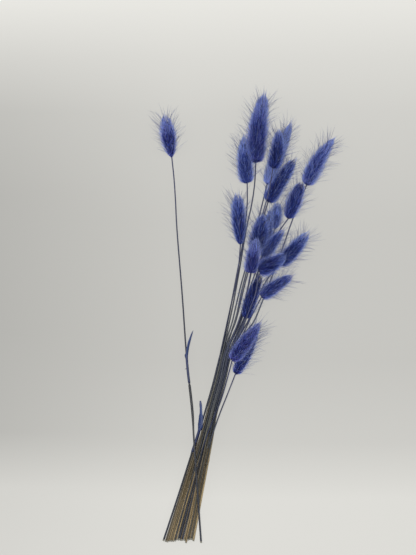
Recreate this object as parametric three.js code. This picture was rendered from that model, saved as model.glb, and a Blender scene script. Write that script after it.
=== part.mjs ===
// A loose bunch of dyed bunny tail grass that lies on a flat surface.
// Millimetres, +Z up. The heads point along +Y and the cut ends lie towards -Y.
import * as THREE from 'three';

// Driving dimensions
const cutRadius = 0.95;          // stem radius at the cut end
const neckRadius = 0.58;         // stem radius under the head
const cutSpread = 3;             // half of how much the cut ends differ in length
const stemSides = 6;
const stemStep = 19;             // length of one stem segment
const seatGap = 0.3;             // clear space between pieces that touch
const coreShare = 0.64;          // core radius as a share of the fur radius
const contactShare = 0.8;        // how near another piece comes to a head's axis, as a share too
const lyingShare = 0.88;         // how near the surface comes to a lying head's axis
const cellWidth = 3.1;           // width of one tuft at the waist of a head
const cellLength = 7.6;          // length of one tuft along a head
const awnRadius = 0.3;           // needle radius where it leaves its tuft
const awnEvery = 5;              // one tuft in this many carries a needle
const leafThickness = 0.6;
const sheathGap = 0.36;          // clear space between a stem and the sheath round it
const sheathArc = 1.45;          // half the angle that a sheath wraps, in radians
const sheathRadius = cutRadius + sheathGap + leafThickness;
const fewestSegments = 6;        // in a short stem
const headStations = [0.12, 0.35, 0.6, 0.85, 1];   // where a head's axis may bend
const baseShare = 0.012;         // place on the head's outline that gives its flat base's width
const crownShare = 0.93;         // place of the last ring of tufts, the rest is the tip
const tuftHeight = 0.97;         // where a tuft ends, as a share of the fur radius
const tuftSpread = 0.07;         // how much that share varies
const longestTuft = 0.17;        // as a share of the head's length
const furMargin = 0.09;          // clear share of the fur radius between two heads that meet
const needleLengths = [10.5, 8, 6, 4.5];   // the longest that fits is taken
const needleFloor = 0.6;         // clear height of a needle above the surface

// How the plants come down: steps of falling and then of resting, and the heights they start at
const fallSteps = 1100;
const restSteps = 200;
const firstDrop = 0.45;
const lastDrop = 0.012;
const stemPull = 0.1;            // how strongly a stem keeps to its place in the plan
const headPull = 0.3;
const lowestStart = 4;
const levelRise = 8;

// Plan of the sheaf of stems: for each height along the bunch, its left and right edges
const sheafStations = [
  { y: 175.5, left: -7.5, right: 3 },
  { y: 148.5, left: -13.5, right: -4.5 },
  { y: 130.5, left: -18.5, right: -9.5 },
  { y: 112.5, left: -23.5, right: -14 },
  { y: 94.5, left: -29.5, right: -16.5 },
  { y: 0, left: -60, right: -33 },
];
// Plants of the sheaf from left to right
const sheafOrder = [9, 3, 2, 5, 6, 4, 10, 14, 12, 11, 13, 15, 8, 18, 16, 17, 7];

// One entry a plant: its head's base, middle and tip and the stem's way down to the sheaf,
// seen from above, the head's width, the exponents of its outline at base and tip (small is
// blunt, large is pointed), and its level in the pile, counted from the surface
const plants = [
  { id: 1, level: 19, width: 14, shape: [0.75, 0.45],
    head: [[-52.5, 349], [-55.5, 367.7], [-58.8, 386.8]],
    way: [[-50, 324], [-48, 286], [-43, 223], [-39.5, 173.5], [-37, 146], [-34.5, 128],
      [-32, 87.5], [-26, 2]] },
  { id: 2, level: 10, width: 16.5, shape: [0.25, 0.38],
    head: [[23, 344.3], [24.8, 374.6], [31, 405]],
    way: [[23, 337.5], [20.5, 312.5], [17.5, 298], [14, 281.5], [10.5, 260], [7, 240.5],
      [3.5, 220.5], [-0.5, 201.5]] },
  { id: 3, level: 3, width: 13.5, shape: [0.27, 0.42],
    head: [[15.5, 326], [13.5, 346.5], [13, 367.5]],
    way: [[16, 315], [14.5, 298], [13, 281.5], [10, 263.5], [7, 247.5], [2.5, 222.5],
      [-1.5, 201.5]] },
  { id: 4, level: 5, width: 11, shape: [0.3, 0.5],
    head: [[38.5, 339], [42.5, 355.5], [43.5, 373.5]],
    way: [[36.5, 325], [33, 310.5], [29, 296], [23, 274.5], [17, 253], [12, 235],
      [8.5, 219.5], [4.5, 201.5]] },
  { id: 5, level: 1, width: 11.5, shape: [0.25, 0.4],
    head: [[33.5, 325], [43.5, 351], [55, 379.5]],
    way: [[30, 310.5], [27, 298], [22, 278], [16, 254.5], [11, 236.5], [7, 220.5],
      [3, 202.5]] },
  { id: 6, level: 9, width: 12, shape: [0.25, 0.4],
    head: [[34.5, 309], [44.5, 326.5], [58.5, 347]],
    way: [[31, 299.5], [25.5, 279], [18.5, 253], [13.5, 235], [9.5, 218.5], [5, 200.5]] },
  { id: 7, level: 0, width: 12.5, shape: [0.3, 0.6],
    head: [[69, 324.5], [79.3, 346.2], [94, 366]],
    way: [[64, 314], [57, 296.5], [46, 264], [38.5, 243], [30, 221], [22.5, 202.5]] },
  { id: 8, level: 2, width: 12.5, shape: [0.42, 0.45],
    head: [[52.7, 294], [57.9, 309], [65, 326.5]],
    way: [[48.5, 289], [41.5, 278], [33.5, 260], [25.5, 240.5], [19.5, 222.5], [12.5, 200.5]] },
  { id: 9, level: 7, width: 11, shape: [0.42, 0.25],
    head: [[9.5, 270.5], [8, 292.5], [6.5, 315.5]],
    way: [[9.5, 263.5], [8, 252], [6, 238.5], [2, 220.5], [-2, 201.5]] },
  { id: 10, level: 12, width: 14, shape: [0.36, 0.5],
    head: [[23.5, 263.5], [26.7, 281], [29.5, 297.5]],
    way: [[21.5, 254.5], [19, 244], [16.5, 231.5], [13, 217], [8.5, 200.5]] },
  { id: 11, level: 4, width: 9.5, shape: [0.6, 0.3],
    head: [[40.3, 284.6], [41.5, 295], [42.8, 308.8]],
    way: [[34, 267.5], [27, 249.5], [21, 233], [15.5, 217], [9.5, 200]] },
  { id: 12, level: 6, width: 9.5, shape: [0.4, 0.5],
    head: [[33, 272.5], [35, 287], [36.5, 301.5]],
    way: [[29, 260], [23.5, 245.5], [18.5, 231.5], [14, 216], [9, 200]] },
  { id: 13, level: 14, width: 11.5, shape: [0.3, 0.55],
    head: [[29.5, 259.5], [38.5, 272], [48.5, 283.5]],
    way: [[26, 249.5], [21.5, 233], [16.5, 217], [11, 199]] },
  { id: 14, level: 13, width: 12.5, shape: [0.25, 0.25],
    head: [[18.5, 245], [20.7, 260], [23.7, 275.5]],
    way: [[17.5, 238.5], [15, 227.5], [11.5, 215], [7.5, 200]] },
  { id: 15, level: 17, width: 15, shape: [0.25, 0.4],
    head: [[25.5, 247.5], [36.5, 252], [49.5, 261.5]],
    way: [[25.5, 237.5], [23.5, 229.5], [19.5, 218], [15.5, 207], [12, 196]] },
  { id: 16, level: 8, width: 12.8, shape: [0.3, 0.4],
    head: [[45, 252.5], [57, 265], [70.5, 281]],
    way: [[38, 245.5], [29.5, 232], [23, 218], [16, 200.5]] },
  { id: 17, level: 11, width: 12, shape: [0.3, 0.45],
    head: [[28.5, 223], [41.5, 233.5], [56.5, 242]],
    way: [[24.5, 218.5], [20.5, 209], [16.5, 197]] },
  { id: 18, level: 16, width: 10.5, shape: [0.3, 0.35],
    head: [[14.5, 204], [19, 222.5], [28, 242]],
    way: [[13, 199], [9.5, 190]] },
  { id: 19, level: 18, width: 12.5, shape: [0.3, 0.5],
    head: [[2, 166], [14, 182.4], [27.3, 200.2]],
    way: [[0, 160], [-4, 144], [-8.5, 129.5], [-14, 116], [-22, 95], [-46, 4]] },
  { id: 20, level: 15, width: 10.2, shape: [0.3, 0.5],
    head: [[5, 154], [14.6, 172.5], [25, 191]],
    way: [[2.5, 147.5], [-2.5, 135], [-8, 122], [-13.5, 105.5], [-21, 86], [-40, 1]] },
];

// Leaves: the plant, the stretch of stem that the sheath wraps, the blade's tip and its width,
// and the direction seen from the tip in which the sheath's back faces, in degrees from +X
const leaves = [
  { id: 1, plant: 1, from: 146, to: 172, tip: [-33, 193, 3.2], width: 3, facing: 40 },
  { id: 2, plant: 9, from: 84, to: 103, tip: [-27, 129.5, 4.5], width: 4, facing: 140 },
];

// A repeatable random draw between -1 and 1
function makeDraw(seed) {
  let state = seed * 2654435761 % 4294967296;
  return () => {
    state = (state * 1664525 + 1013904223) % 4294967296;
    return state / 2147483648 - 1;
  };
}

// Width along a head, from t = 0 at its base to 1 at its tip: t^a (1 - t)^b as a share of its peak
function headProfile(t, [a, b]) {
  const peak = a / (a + b);
  const shape = (u) => Math.pow(u, a) * Math.pow(1 - u, b);
  return shape(Math.min(Math.max(t, 0), 1)) / shape(peak);
}

// Lay out each plant as a chain of points: stem from cut end to neck, then the head
function layChain(plant) {
  const order = sheafOrder.indexOf(plant.id);
  const draw = makeDraw(plant.id);
  const stemWay = plant.way.map(([x, y]) => new THREE.Vector3(x, y, 0));
  if (order >= 0) {
    const share = order / (sheafOrder.length - 1);
    for (const { y, left, right } of sheafStations) {
      const cut = y === 0 ? cutSpread * (1 + draw()) : 0;
      stemWay.push(new THREE.Vector3(left + share * (right - left), y + cut, 0));
    }
  }
  stemWay.reverse();
  const [base, middle, tip] = plant.head.map(([x, y]) => new THREE.Vector3(x, y, 0));
  const stemCurve = new THREE.CatmullRomCurve3([...stemWay, base], false, 'centripetal');
  const headCurve = new THREE.CatmullRomCurve3([base, middle, tip], false, 'centripetal');
  const segments = Math.max(fewestSegments, Math.round(stemCurve.getLength() / stemStep));
  const chain = { plant, points: [], plan: [], radii: [], reach: [], stemCount: segments + 1 };
  const sheath = leaves.find((leaf) => leaf.plant === plant.id);
  for (let i = 0; i <= segments; i++) {
    const point = stemCurve.getPointAt(i / segments);
    const radius = THREE.MathUtils.lerp(cutRadius, neckRadius, i / segments);
    const wrapped = sheath && point.y > sheath.from - stemStep && point.y < sheath.to + stemStep;
    chain.points.push(point);
    chain.radii.push(radius);
    chain.reach.push(wrapped ? sheathRadius : radius);
  }
  for (const t of headStations) {
    chain.points.push(headCurve.getPointAt(t));
    const width = plant.width * headProfile(Math.min(t, crownShare), plant.shape);
    chain.reach.push(contactShare * 0.5 * width);
  }
  for (const point of chain.points) {
    chain.plan.push(point.clone());
    point.z = lowestStart + plant.level * levelRise;
  }
  return chain;
}

// Nearest points of two segments, as shares s and t along them
function nearestShares(p1, q1, p2, q2) {
  const d1 = q1.clone().sub(p1);
  const d2 = q2.clone().sub(p2);
  const r = p1.clone().sub(p2);
  const a = d1.dot(d1);
  const e = d2.dot(d2);
  const b = d1.dot(d2);
  const c = d1.dot(r);
  const f = d2.dot(r);
  const clamp = (v) => Math.min(Math.max(v, 0), 1);
  const flat = a * e - b * b;
  let s = flat > 1e-9 ? clamp((b * f - c * e) / flat) : 0.5;
  const t = clamp((b * s + f) / e);
  s = clamp((b * t - c) / a);
  return [s, t];
}

// Pairs of segments of different plants that could meet before the next look, seen from above
function meetingPairs(chains) {
  const sideways = 2.5;
  const segments = [];
  for (const chain of chains) {
    for (let i = 0; i + 1 < chain.points.length; i++) {
      const reach = Math.max(chain.reach[i], chain.reach[i + 1]) + sideways;
      const box = new THREE.Box2();
      for (const p of [chain.points[i], chain.points[i + 1]]) {
        box.expandByPoint(new THREE.Vector2(p.x, p.y));
      }
      segments.push({ chain, i, box: box.expandByScalar(reach) });
    }
  }
  const pairs = [];
  segments.forEach((one, k) => {
    for (const other of segments.slice(k + 1)) {
      if (one.chain !== other.chain && one.box.intersectsBox(other.box)) pairs.push([one, other]);
    }
  });
  return pairs;
}

// Push two chains apart where they are closer than their radii and the gap
function pushApart(one, other) {
  const { chain: a, i } = one;
  const { chain: b, i: j } = other;
  const [s, t] = nearestShares(a.points[i], a.points[i + 1], b.points[j], b.points[j + 1]);
  const onA = a.points[i].clone().lerp(a.points[i + 1], s);
  const onB = b.points[j].clone().lerp(b.points[j + 1], t);
  const apart = onA.sub(onB);
  const need = THREE.MathUtils.lerp(a.reach[i], a.reach[i + 1], s) + seatGap
    + THREE.MathUtils.lerp(b.reach[j], b.reach[j + 1], t);
  const distance = apart.length();
  if (distance >= need) return;
  apart.normalize().multiplyScalar(0.5 * (need - distance));
  const weightA = (1 - s) * (1 - s) + s * s;
  const weightB = (1 - t) * (1 - t) + t * t;
  a.points[i].addScaledVector(apart, (1 - s) / weightA);
  a.points[i + 1].addScaledVector(apart, s / weightA);
  b.points[j].addScaledVector(apart, -(1 - t) / weightB);
  b.points[j + 1].addScaledVector(apart, -t / weightB);
}

// Stiffness: a point and its neighbours give way until their offsets from the plan are in line
function straighten(chain, i) {
  const offset = (k) => chain.points[k].clone().sub(chain.plan[k]);
  const here = chain.plan[i].distanceTo(chain.plan[i - 1]);
  const next = chain.plan[i].distanceTo(chain.plan[i + 1]);
  const k = here / (here + next);
  const bend = offset(i - 1).multiplyScalar(1 - k).addScaledVector(offset(i + 1), k).sub(offset(i));
  chain.points[i].addScaledVector(bend, 0.5);
  chain.points[i - 1].addScaledVector(bend, -0.25);
  chain.points[i + 1].addScaledVector(bend, -0.25);
}

// Let the plants come down onto the surface and onto each other, lowest level first
function settle(chains) {
  const stiffPasses = 3;
  const lookEvery = 150;
  let pairs = [];
  for (let step = 0; step < fallSteps + restSteps; step++) {
    const falling = step < fallSteps;
    const drop = falling ? firstDrop * Math.pow(1 - step / fallSteps, 1.5) + lastDrop : 0;
    if (step % lookEvery === 0) pairs = meetingPairs(chains);
    for (const chain of falling ? chains : []) {
      chain.points.forEach((point, i) => {
        const pull = i < chain.stemCount ? stemPull : headPull;
        point.x += pull * (chain.plan[i].x - point.x);
        point.y += pull * (chain.plan[i].y - point.y);
        point.z -= drop;
      });
      for (let pass = 0; pass < stiffPasses; pass++) {
        for (let i = 1; i + 1 < chain.points.length; i++) straighten(chain, i);
      }
    }
    for (const [one, other] of pairs) pushApart(one, other);
    for (const chain of chains) {
      chain.points.forEach((point, i) => {
        const floor = i < chain.stemCount ? 1 : lyingShare / contactShare;
        point.z = Math.max(point.z, floor * chain.reach[i]);
      });
    }
  }
}

// Distance from a point to a chain of points, from one index to another
function chainDistance(point, points, from, to) {
  let best = Infinity;
  const line = new THREE.Line3();
  const foot = new THREE.Vector3();
  for (let i = from; i < to; i++) {
    line.set(points[i], points[i + 1]);
    line.closestPointToPoint(point, true, foot);
    best = Math.min(best, foot.distanceTo(point));
  }
  return best;
}

// How far out in a head's fur a point is: 0 on the axis, 1 at the fur's edge
function furShare(point, chain) {
  const { points, stemCount, plant } = chain;
  const base = points[stemCount - 1];
  const tip = points[points.length - 1];
  const along = tip.clone().sub(base);
  const t = point.clone().sub(base).dot(along) / along.lengthSq();
  const girth = 0.5 * plant.width * headProfile(Math.min(Math.max(t, 0.06), 0.9), plant.shape);
  return chainDistance(point, points, stemCount - 1, points.length - 1) / girth;
}

// True where a point of one head is clear of the surface, of the stems and of the other heads
function isClear(point, chain, neighbours) {
  if (point.z < 0) return false;
  const own = furShare(point, chain);
  return neighbours.every((other) => furShare(point, other) > own + furMargin
    && chainDistance(point, other.points, 0, other.stemCount - 1) > cutRadius + seatGap);
}

// Other plants that come near a head
function nearHead(chain, chains) {
  const middle = chain.points[chain.stemCount + 1];
  const reach = chain.points[chain.stemCount - 1].distanceTo(middle)
    + chain.plant.width + 2 * needleLengths[0];
  return chains.filter((other) => other !== chain
    && chainDistance(middle, other.points, 0, other.points.length - 1) < reach);
}

// A head's axis, from its base to its tip
function headAxis(chain) {
  return new THREE.CatmullRomCurve3(chain.points.slice(chain.stemCount - 1), false, 'centripetal');
}

// Directions square to a line along the bunch: to its side, and up
function crossDirections(along) {
  const side = new THREE.Vector3(along.y, -along.x, 0).normalize();
  return { side, up: side.clone().cross(along) };
}

// The direction at an angle round a line, from its side towards up
function turned({ side, up }, angle) {
  return side.clone().multiplyScalar(Math.cos(angle)).addScaledVector(up, Math.sin(angle));
}

// A head: a closed surface round its axis in diamond cells, each drawn out to a tuft that
// leans towards the tip, and one tuft in a few carries a fine needle
function makeHead(chain, chains) {
  const { plant, points } = chain;
  const draw = makeDraw(100 + plant.id);
  const neighbours = nearHead(chain, chains);
  const axis = headAxis(chain);
  const length = axis.getLength();
  const radius = 0.5 * plant.width;
  const around = Math.max(6, Math.round(2 * Math.PI * coreShare * radius / cellWidth));
  const rows = 2 * Math.round(length / cellLength) + 3;
  const twist = draw() * Math.PI;
  const positions = [];
  const faces = [];

  const frameAt = (t) => {
    const along = axis.getTangentAt(t);
    return { at: axis.getPointAt(t), along, ...crossDirections(along) };
  };
  const addPoint = (p) => positions.push(p) - 1;

  // Core: draw a point in towards the axis until it is clear of everything else
  const grid = [];
  for (let row = 0; row < rows; row++) {
    const t = crownShare * row / (rows - 1);
    const frame = frameAt(t);
    const ring = [];
    for (let k = 0; k < around; k++) {
      const angle = twist + (k + 0.5 * (row % 2)) * 2 * Math.PI / around;
      const out = turned(frame, angle);
      const width = coreShare * radius * headProfile(Math.max(t, baseShare), plant.shape);
      let reach = Math.max(width, neckRadius);
      const place = () => frame.at.clone().addScaledVector(out, reach);
      while (reach > 0.5 && !isClear(place(), chain, neighbours)) reach *= 0.94;
      ring.push(addPoint(place()));
    }
    grid.push(ring);
  }

  // A tuft on one cell, and a needle on it where there is room
  const addTuft = (cell, angle, t, wantsAwn) => {
    const frame = frameAt(t);
    const corners = cell.map((k) => positions[k]);
    const centre = corners.reduce((sum, p) => sum.add(p), new THREE.Vector3()).divideScalar(4);
    const across = corners[1].clone().sub(corners[3]);
    const lengthwise = corners[2].clone().sub(corners[0]);
    const normal = across.cross(lengthwise).normalize();
    const lean = normal.clone().addScaledVector(frame.along, 0.95).normalize();
    const out = turned(frame, angle);
    const edge = radius * headProfile(t, plant.shape) * (tuftHeight + tuftSpread * draw());
    const rise = edge - out.dot(centre.clone().sub(frame.at));
    const fullReach = Math.min(rise / Math.max(lean.dot(out), 0.35), longestTuft * length);
    let reach = fullReach;
    const top = () => centre.clone().addScaledVector(lean, reach);
    const fits = () => {
      const apex = top();
      return [0.4, 0.7, 1].every((share) => corners.every((corner) => isClear(
        corner.clone().lerp(apex, share), chain, neighbours)));
    };
    while (reach > 0.35 && !fits()) reach *= 0.85;
    const apex = top();
    if (apex.z < 0.25) apex.z = 0;   // tufts that come this near the surface stand on it
    const awn = wantsAwn && reach > 0.8 * fullReach ? placeAwn(frame, lean, centre, reach) : null;
    if (!awn) {
      const end = addPoint(apex);
      for (let k = 0; k < 4; k++) faces.push([cell[k], cell[(k + 1) % 4], end]);
      return;
    }
    const ring = corners.map((corner) => {
      const outward = corner.clone().sub(centre);
      outward.addScaledVector(lean, -outward.dot(lean)).normalize();
      return addPoint(awn.foot.clone().addScaledVector(outward, awnRadius));
    });
    const end = addPoint(awn.tip);
    for (let k = 0; k < 4; k++) {
      const n = (k + 1) % 4;
      faces.push([cell[k], cell[n], ring[n]], [cell[k], ring[n], ring[k]], [ring[k], ring[n], end]);
    }
  };

  // The longest needle that fits, from a tuft's upper part forwards and outwards
  const placeAwn = (frame, lean, centre, reach) => {
    const foot = centre.clone().addScaledVector(lean, 0.82 * reach);
    const heading = lean.clone().addScaledVector(frame.along, 0.55 + 0.2 * draw()).normalize();
    for (const size of needleLengths) {
      const tip = foot.clone().addScaledVector(heading, size * (1 + 0.12 * draw()));
      const clear = [0.25, 0.5, 0.75, 1].every((share) => {
        const p = foot.clone().lerp(tip, share);
        return p.z > needleFloor && isClear(p, chain, neighbours);
      });
      if (clear) return { foot, tip };
    }
    return null;
  };

  let cellCount = 0;
  for (let row = 0; row + 2 < rows; row++) {
    for (let k = 0; k < around; k++) {
      const shift = row % 2;
      const left = grid[row + 1][(k + shift - 1 + around) % around];
      const right = grid[row + 1][(k + shift) % around];
      const cell = [grid[row][k], left, grid[row + 2][k], right];
      const angle = twist + (k + 0.5 * shift) * 2 * Math.PI / around;
      const t = crownShare * (row + 1) / (rows - 1);
      cellCount += 1;
      addTuft(cell, angle, t, row > 1 && cellCount % awnEvery === 0);
    }
  }
  // Close the zigzag edges, the flat base and the tip
  const last = rows - 1;
  const baseCentre = addPoint(frameAt(0).at);
  const tipPoint = addPoint(points[points.length - 1].clone());
  for (let k = 0; k < around; k++) {
    const n = (k + 1) % around;
    faces.push([grid[0][k], grid[1][k], grid[0][n]], [baseCentre, grid[0][k], grid[0][n]]);
    faces.push([grid[last][k], grid[last][n], grid[last - 1][k]], [grid[last][n], grid[last][k], tipPoint]);
  }
  return meshFrom(positions, faces);
}

function meshFrom(points, faces) {
  const geometry = new THREE.BufferGeometry();
  geometry.setAttribute('position', new THREE.Float32BufferAttribute(
    points.flatMap((p) => [p.x, p.y, p.z]), 3));
  geometry.setIndex(faces.flat());
  geometry.computeVertexNormals();
  return geometry;
}

// A stem: a tube along its chain, cut square at its lower end and along the head's base above
function makeStem(chain) {
  const count = chain.stemCount;
  const neckAlong = headAxis(chain).getTangentAt(0);
  const positions = [];
  const faces = [];
  chain.points.slice(0, count).forEach((at, i) => {
    const last = i + 1 === count;
    const along = last ? neckAlong
      : chain.points[i + 1].clone().sub(chain.points[Math.max(i - 1, 0)]).normalize();
    const directions = crossDirections(along);
    const centre = at.clone().addScaledVector(along, last ? -seatGap : 0);
    for (let k = 0; k < stemSides; k++) {
      const out = turned(directions, Math.PI / 2 + k * 2 * Math.PI / stemSides);
      positions.push(centre.clone().addScaledVector(out, chain.radii[i]));
    }
  });
  for (let i = 0; i + 1 < count; i++) {
    for (let k = 0; k < stemSides; k++) {
      const a = i * stemSides + k;
      const b = i * stemSides + (k + 1) % stemSides;
      faces.push([a, b + stemSides, b], [a, a + stemSides, b + stemSides]);
    }
  }
  for (let k = 1; k + 1 < stemSides; k++) {
    const top = (count - 1) * stemSides;
    faces.push([0, k, k + 1], [top, top + k + 1, top + k]);
  }
  return meshFrom(positions, faces);
}

// The place on a stem at a height along the bunch, and the stem's direction there
function stemAt(chain, y) {
  const i = chain.points.findIndex((point) => point.y > y);
  const [low, high] = [chain.points[i - 1], chain.points[i]];
  const share = (y - low.y) / (high.y - low.y);
  return { at: low.clone().lerp(high, share), along: high.clone().sub(low).normalize() };
}

// A leaf: a channel of even thickness that wraps its stem as a sheath, then leaves it and
// opens into a narrow blade. Its sections are arcs, wide and deep below, flat and small above
function makeLeaf(leaf, chain) {
  const sheathSteps = 4;
  const bladeSteps = 6;
  const arcSteps = 4;
  const bladeBend = 3.2;           // radius of the blade's shallow channel
  const facing = THREE.MathUtils.degToRad(leaf.facing);
  const back = new THREE.Vector3(Math.cos(facing), 0, Math.sin(facing));
  const sections = [];
  for (let i = 0; i <= sheathSteps; i++) {
    const { at, along } = stemAt(chain, THREE.MathUtils.lerp(leaf.from, leaf.to, i / sheathSteps));
    const bend = cutRadius + sheathGap;
    sections.push({ spine: at.addScaledVector(back, bend), along, bend, arc: sheathArc });
  }
  const root = sections[sheathSteps];
  const tip = new THREE.Vector3(...leaf.tip);
  const knee = root.spine.clone().addScaledVector(root.along, 0.45 * root.spine.distanceTo(tip));
  const blade = new THREE.QuadraticBezierCurve3(root.spine, knee, tip);
  for (let i = 1; i <= bladeSteps; i++) {
    const u = i / bladeSteps;
    const width = leaf.width * (1 - 0.75 * u * u);
    const bend = THREE.MathUtils.lerp(root.bend, bladeBend, Math.min(1, 1.6 * u));
    const arc = Math.min(sheathArc, 0.5 * width / bend);
    sections.push({ spine: blade.getPoint(u), along: blade.getTangent(u), bend, arc });
  }
  const positions = [];
  const faces = [];
  for (const { spine, along, bend, arc } of sections) {
    const across = along.clone().cross(back).normalize();
    const out = across.clone().cross(along);
    for (const depth of [0, leafThickness]) {
      for (let k = 0; k <= arcSteps; k++) {
        const angle = arc * (2 * k / arcSteps - 1);
        positions.push(spine.clone().addScaledVector(out, (bend + depth) * Math.cos(angle) - bend)
          .addScaledVector(across, (bend + depth) * Math.sin(angle)));
      }
    }
  }
  const loop = 2 * (arcSteps + 1);
  const order = Array.from({ length: loop }, (_, k) => (k <= arcSteps ? k : loop + arcSteps - k));
  for (let i = 0; i + 1 < sections.length; i++) {
    order.forEach((a, k) => {
      const b = order[(k + 1) % loop];
      faces.push([i * loop + a, (i + 1) * loop + b, i * loop + b]);
      faces.push([i * loop + a, (i + 1) * loop + a, (i + 1) * loop + b]);
    });
  }
  const last = (sections.length - 1) * loop;
  const outer = arcSteps + 1;
  for (let k = 0; k < arcSteps; k++) {
    faces.push([k, k + 1, outer + k + 1], [k, outer + k + 1, outer + k]);
    faces.push([last + k, last + outer + k + 1, last + k + 1]);
    faces.push([last + k, last + outer + k, last + outer + k + 1]);
  }
  return meshFrom(positions, faces);
}

const furColour = new THREE.MeshStandardMaterial({ color: 0x323c82, roughness: 0.95 });
const stemColour = new THREE.MeshStandardMaterial({ color: 0x3f4a58, roughness: 0.7 });
const leafColour = new THREE.MeshStandardMaterial({ color: 0x223a78, roughness: 0.75 });

const chains = plants.map(layChain);
settle(chains);

const bunch = new THREE.Group();
for (const chain of chains) {
  const number = String(chain.plant.id).padStart(2, '0');
  const head = new THREE.Mesh(makeHead(chain, chains), furColour);
  head.name = `head_${number}`;
  const stem = new THREE.Mesh(makeStem(chain), stemColour);
  stem.name = `stem_${number}`;
  bunch.add(head, stem);
}
for (const leaf of leaves) {
  const mesh = new THREE.Mesh(makeLeaf(leaf, chains.find((c) => c.plant.id === leaf.plant)), leafColour);
  mesh.name = `leaf_${String(leaf.id).padStart(2, '0')}`;
  bunch.add(mesh);
}

// The origin lies on the surface, under the middle of the bunch's box
const box = new THREE.Box3().setFromObject(bunch);
const middle = box.getCenter(new THREE.Vector3());
bunch.position.set(-middle.x, -middle.y, 0);

export default bunch;
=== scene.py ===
import bpy
import numpy as np
from math import pi, radians
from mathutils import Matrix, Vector


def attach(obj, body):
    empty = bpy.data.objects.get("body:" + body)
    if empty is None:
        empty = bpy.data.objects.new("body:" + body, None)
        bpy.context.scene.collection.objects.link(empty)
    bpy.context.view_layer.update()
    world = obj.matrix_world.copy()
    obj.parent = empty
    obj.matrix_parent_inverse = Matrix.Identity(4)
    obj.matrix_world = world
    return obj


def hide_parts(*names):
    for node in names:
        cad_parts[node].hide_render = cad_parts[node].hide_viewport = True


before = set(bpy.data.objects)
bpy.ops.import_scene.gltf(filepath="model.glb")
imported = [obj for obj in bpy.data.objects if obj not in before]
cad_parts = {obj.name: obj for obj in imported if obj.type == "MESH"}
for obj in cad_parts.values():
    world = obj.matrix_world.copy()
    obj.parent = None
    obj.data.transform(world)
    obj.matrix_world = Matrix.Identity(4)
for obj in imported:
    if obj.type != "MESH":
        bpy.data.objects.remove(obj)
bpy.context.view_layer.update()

mm = 0.001
lowest = 0.02 * mm       # no straw or leaf reaches lower over the floor
scene = bpy.context.scene

# Camera: straight down through a long lens, the heads at the top of the picture
viewLook = {
    "middle": (-35.8 * mm, 35.6 * mm, 8 * mm),   # the place in the middle of the picture
    "tall": 499.5 * mm,                          # what the picture's height covers there
    "lens": 100.0,
    "sensor": 36.0,
}


def makeCamera(look):
    # distance = height covered x lens / sensor
    data = bpy.data.cameras.new("camera")
    data.lens, data.sensor_width = look["lens"], look["sensor"]
    data.clip_start, data.clip_end = 0.01, 20.0
    x, y, z = look["middle"]
    camera = bpy.data.objects.new("camera", data)
    camera.location = (x, y, z + look["tall"] * look["lens"] / look["sensor"])
    scene.collection.objects.link(camera)
    scene.camera = camera


makeCamera(viewLook)
print("camera ready")


# Lines and directions
def unit(vectors):
    # each vector divided by its length
    return vectors / np.linalg.norm(vectors, axis=-1, keepdims=True)


def crossOf(along):
    # two directions square to a line: to its side, and up
    side = unit(np.stack([along[:, 1], -along[:, 0], np.zeros(len(along))], 1))
    return side, np.cross(side, along)


def smoothLine(points, u):
    # Hermite curve through the points with half the neighbours' difference as slope,
    # read at u from 0 to 1
    last = len(points) - 1
    ends = np.vstack([2 * points[0] - points[1], points, 2 * points[-1] - points[-2]])
    slopes = (ends[2:] - ends[:-2]) / 2
    i = np.clip((u * last).astype(int), 0, last - 1)
    f = (u * last - i)[:, None]
    return ((2 * f**3 - 3 * f**2 + 1) * points[i] + (f**3 - 2 * f**2 + f) * slopes[i]
            + (3 * f**2 - 2 * f**3) * points[i + 1] + (f**3 - f**2) * slopes[i + 1])


def smoothStep(low, high, values):
    # 0 below low, 1 above high, 3s^2 - 2s^3 between
    s = np.clip((values - low) / (high - low), 0, 1)
    return s * s * (3 - 2 * s)


# Reading the frame
def cornersOf(name):
    # all the corners of a node's mesh, one row each
    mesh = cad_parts[name].data
    flat = np.empty(3 * len(mesh.vertices), np.float32)
    mesh.vertices.foreach_get("co", flat)
    return flat.reshape(-1, 3).astype(float)


stemSides = 6    # of the solids in the frame


class StemLine:
    # The line of a stem: its solid is rings of six corners, read as their middles and mean radius
    def __init__(self, number):
        corners = np.unique(cornersOf(f"stem_{number}").round(5), axis=0)
        rings = corners[np.argsort(corners[:, 1])].reshape(-1, stemSides, 3)
        middles = rings.mean(1)
        radii = np.linalg.norm(rings - middles[:, None], axis=2).mean(1)
        u = np.linspace(0, 1, 12 * len(middles))
        self.path = smoothLine(middles, u)
        self.radii = np.interp(u, np.linspace(0, 1, len(radii)), radii)
        steps = np.linalg.norm(np.diff(self.path, axis=0), axis=1)
        self.run = np.concatenate([[0], np.cumsum(steps)])
        self.length = self.run[-1]
        self.end = middles[-1]

    def at(self, run):
        # place, direction and radius at a distance from the cut end
        place = np.stack([np.interp(run, self.run, self.path[:, k]) for k in range(3)], 1)
        slope = np.gradient(self.path, self.run, axis=0)
        along = unit(np.stack([np.interp(run, self.run, slope[:, k]) for k in range(3)], 1))
        return place, along, np.interp(run, self.run, self.radii)

    def runAt(self, y):
        # distance from the cut end to a height along the bunch
        return np.interp(y, self.path[:, 1], self.run)


# How hairs crowd on a head: evenly over its skin, a little more at both ends, and more again
# near the tip
crowdLook = {"ends": 0.12, "tip": 0.45, "tipFrom": 0.88}


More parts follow.
